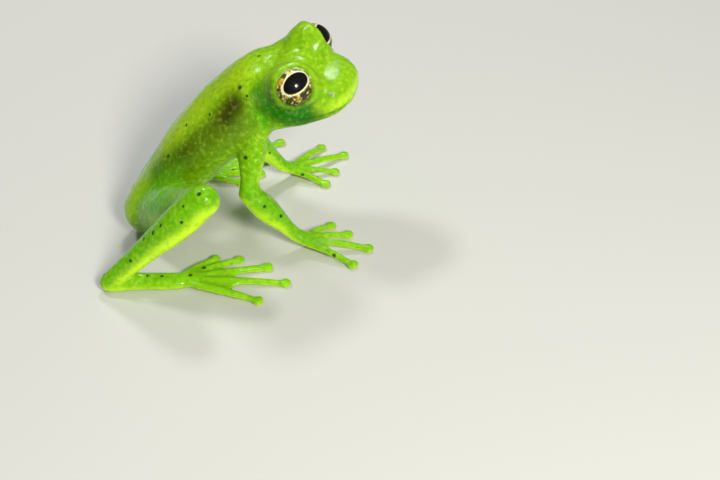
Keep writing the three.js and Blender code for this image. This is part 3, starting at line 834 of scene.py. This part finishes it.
def moistSkin():
    material, tree = newMaterial("moist glass frog skin")
    place = addNode(tree, "ShaderNodeTexCoord").outputs["Object"]
    patches, flecks, pores = [
        addNode(tree, "ShaderNodeTexNoise", {
            "Vector": place, "Scale": skinGrain[name] / millimetre, "Detail": detail,
        }).outputs["Fac"]
        for name, detail in (("patches", 3.0), ("flecks", 4.0), ("pores", 3.0))
    ]
    colour = laidOver(tree, linear("#76b007"), "#90c810", patches, 0.35, 0.65)
    colour = laidOver(tree, colour, "#c4e83c", flecks, 0.5, 0.72, 0.0, 0.4)
    colour = laidOver(tree, colour, "#5a9408", flecks, 0.5, 0.3, 0.0, 0.3)
    cloudy = addNode(tree, "ShaderNodeMapRange", {
        "Value": patches, "From Min": 0.3, "From Max": 0.7, "To Min": 0.75, "To Max": 1.15,
    }, interpolation_type="SMOOTHSTEP").outputs["Result"]
    for name, hexValue, strength in skinColours:
        mark = addNode(tree, "ShaderNodeAttribute", attribute_name=name).outputs["Fac"]
        strong = addNode(tree, "ShaderNodeMath", {0: mark, 1: strength}, operation="MULTIPLY").outputs[0]
        mask = addNode(tree, "ShaderNodeMath", {0: strong, 1: cloudy}, operation="MULTIPLY", use_clamp=True)
        colour = addNode(tree, "ShaderNodeMix", {
            0: mask.outputs[0], 6: colour, 7: linear(hexValue),
        }, data_type="RGBA").outputs[2]
    colour = laidOver(tree, colour, "#d8f060", flecks, 0.5, 0.7, 0.0, 0.11)
    colour = laidOver(tree, colour, "#1c4004", flecks, 0.5, 0.3, 0.0, 0.2)
    spot = addNode(tree, "ShaderNodeAttribute", attribute_name="spot").outputs["Fac"]
    ragged = addNode(tree, "ShaderNodeMath", {0: flecks, 1: 0.7, 2: spot}, operation="MULTIPLY_ADD")
    colour = laidOver(tree, colour, "#10300a", ragged.outputs[0], 1.85, 1.0, 0.0, 0.92)
    bumps = addNode(tree, "ShaderNodeBump", {
        "Height": pores, "Strength": 0.5, "Distance": poreDepth * millimetre,
    }).outputs["Normal"]
    shader = addNode(tree, "ShaderNodeBsdfPrincipled", {
        "Base Color": colour, "Normal": bumps, "Coat Normal": bumps,
        "Roughness": 0.4, "IOR": 1.4, "Specular IOR Level": 0.08,
        "Subsurface Weight": 0.4, "Subsurface Scale": 0.0006, "Subsurface Radius": (0.6, 1.0, 0.1),
        "Coat Weight": 0.8, "Coat Roughness": 0.08, "Coat IOR": 1.24,
    })
    addNode(tree, "ShaderNodeOutputMaterial", {"Surface": shader.outputs["BSDF"]})
    return material


# Iris under a wet cornea: a cream ring close round the black pupil, then gold flecks and streaks on dark
# olive. The cornea is smooth and wet, so lamps show in it as small sharp points
irisGrain = {"flecks": 3.8, "streaks": 4.5}  # flecks in a millimetre, streaks in a unit of the rays


def frogEye():
    material, tree = newMaterial("wet frog eye")
    place = addNode(tree, "ShaderNodeTexCoord").outputs["Object"]
    rays = addNode(tree, "ShaderNodeAttribute", attribute_name="rays").outputs["Vector"]
    ring, amber, low = [
        addNode(tree, "ShaderNodeAttribute", attribute_name=name).outputs["Fac"]
        for name in ("ring", "amber", "low")
    ]
    streaks, flecks = [
        addNode(tree, "ShaderNodeTexNoise", {"Vector": way, "Scale": scale, "Detail": 4.0}).outputs["Fac"]
        for way, scale in ((rays, irisGrain["streaks"]), (place, irisGrain["flecks"] / millimetre))
    ]
    mottle = addNode(tree, "ShaderNodeMath", {0: streaks, 1: flecks}, operation="ADD").outputs[0]
    frayed = addNode(tree, "ShaderNodeMath", {
        0: streaks, 1: 0.5, 2: ring,
    }, operation="MULTIPLY_ADD").outputs[0]
    colour = laidOver(tree, linear("#2c300a"), "#a08a30", mottle, 0.95, 1.13)
    colour = laidOver(tree, colour, "#e6d890", mottle, 1.1, 1.22, 0.0, 0.8)
    colour = laidOver(tree, colour, "#2a3a0a", frayed, 1.85, 2.7)
    colour = addNode(tree, "ShaderNodeMix", {
        0: amber, 6: colour, 7: linear("#c8940c"),
    }, data_type="RGBA").outputs[2]
    colour = laidOver(tree, colour, "#ebe6b2", frayed, 1.48, 1.36)
    gaps = addNode(tree, "ShaderNodeMapRange", {
        "Value": mottle, "From Min": 0.98, "From Max": 0.88,
    }, interpolation_type="SMOOTHSTEP").outputs["Result"]
    gaps = addNode(tree, "ShaderNodeMath", {0: gaps, 1: low}, operation="MULTIPLY").outputs[0]
    colour = addNode(tree, "ShaderNodeMix", {
        0: gaps, 6: colour, 7: linear("#242808"),
    }, data_type="RGBA").outputs[2]
    colour = laidOver(tree, colour, "#010201", ring, 1.04, 0.98)
    shader = addNode(tree, "ShaderNodeBsdfPrincipled", {
        "Base Color": colour, "Roughness": 0.3, "IOR": 1.38, "Specular IOR Level": 0.1,
        "Coat Weight": 1.0, "Coat Roughness": 0.03, "Coat IOR": 1.38,
    })
    addNode(tree, "ShaderNodeOutputMaterial", {"Surface": shader.outputs["BSDF"]})
    return material


skin.data.materials.append(moistSkin())
eyeMaterial = frogEye()
for ball in balls:
    ball.data.materials.append(eyeMaterial)
print("materials made")


def photoCamera():
    # the same line of sight, turned until the target falls on its pixel with no shift of the lens
    aside = (photo["width"] / 2 - photo["targetPixel"][0]) / focal
    down = (photo["height"] / 2 - photo["targetPixel"][1]) / focal
    newBack = Vector(cameraBack - cameraRight * aside + cameraUp * down).normalized()
    newRight = Vector(cameraUp).cross(newBack).normalized()
    newUp = newBack.cross(newRight)
    data = bpy.data.cameras.new("photo camera")
    data.sensor_width = 36.0
    data.lens = focal * data.sensor_width / photo["width"]
    data.clip_start = 0.005
    data.clip_end = 10.0
    camera = placed("photo camera", data)
    turn = Matrix((newRight, newUp, newBack)).transposed().to_4x4()
    camera.matrix_world = Matrix.Translation(cameraPlace * millimetre) @ turn
    bpy.context.scene.camera = camera


photoCamera()


# Studio, in metres: a pale floor, soft lamps aimed at the frog, and a dome that is brighter in front
studio = {
    "floorHalf": 0.6, "floorColour": "#c6c7c2",
    "aim": (0.006, -0.001, 0.008),
    "lamps": {  # place, sizes, watts, colour
        "key light": ((0.055, -0.18, 0.13), (0.05, 0.05), 0.5, "#fffaf0"),
        "snout light": ((0.047, 0.134, 0.189), (0.045, 0.035), 0.17, "#ffffff"),
        "crown light": ((-0.07, 0.075, 0.211), (0.045, 0.035), 0.17, "#ffffff"),
    },
    "front": (0.45, -0.7, 0.55), "domeStrength": (0.08, 0.36),
}


def floor():
    # one square of matt pale paper
    half = studio["floorHalf"]
    corners = [(-half, -half, 0), (half, -half, 0), (half, half, 0), (-half, half, 0)]
    mesh = bpy.data.meshes.new("studio floor")
    mesh.from_pydata(corners, [], [(0, 1, 2, 3)])
    material, tree = newMaterial("pale paper floor")
    shader = addNode(tree, "ShaderNodeBsdfPrincipled", {
        "Base Color": linear(studio["floorColour"]), "Roughness": 0.9,
    })
    addNode(tree, "ShaderNodeOutputMaterial", {"Surface": shader.outputs["BSDF"]})
    mesh.materials.append(material)
    placed("studio floor", mesh)


def softLight(name, place, size, power, colour):
    # an oval lamp turned to face the frog
    data = bpy.data.lights.new(name, "AREA")
    data.shape = "ELLIPSE"
    data.size, data.size_y = size
    data.energy = power
    data.color = linear(colour)[:3]
    lamp = placed(name, data)
    lamp.location = place
    lamp.rotation_euler = (Vector(studio["aim"]) - Vector(place)).to_track_quat("-Z", "Y").to_euler()


def dome():
    # the world's light: its strength rises smoothly towards the front of the frog and above it
    world = bpy.data.worlds.new("soft studio dome")
    bpy.context.scene.world = world
    world.use_nodes = True
    tree = world.node_tree
    tree.nodes.clear()
    way = addNode(tree, "ShaderNodeTexCoord").outputs["Generated"]
    front = addNode(tree, "ShaderNodeVectorMath", {0: way, 1: studio["front"]}, operation="DOT_PRODUCT")
    weakest, strongest = studio["domeStrength"]
    strength = addNode(tree, "ShaderNodeMapRange", {
        "Value": front.outputs["Value"], "From Min": -0.4, "From Max": 1.0,
        "To Min": weakest, "To Max": strongest,
    }, interpolation_type="SMOOTHSTEP").outputs["Result"]
    sky = addNode(tree, "ShaderNodeBackground", {"Color": (0.97, 0.98, 1.0, 1.0), "Strength": strength})
    addNode(tree, "ShaderNodeOutputWorld", {"Surface": sky.outputs["Background"]})


floor()
for name, settings in studio["lamps"].items():
    softLight(name, *settings)
dome()
bpy.context.scene.view_settings.view_transform = "Standard"
print("camera and lights set")
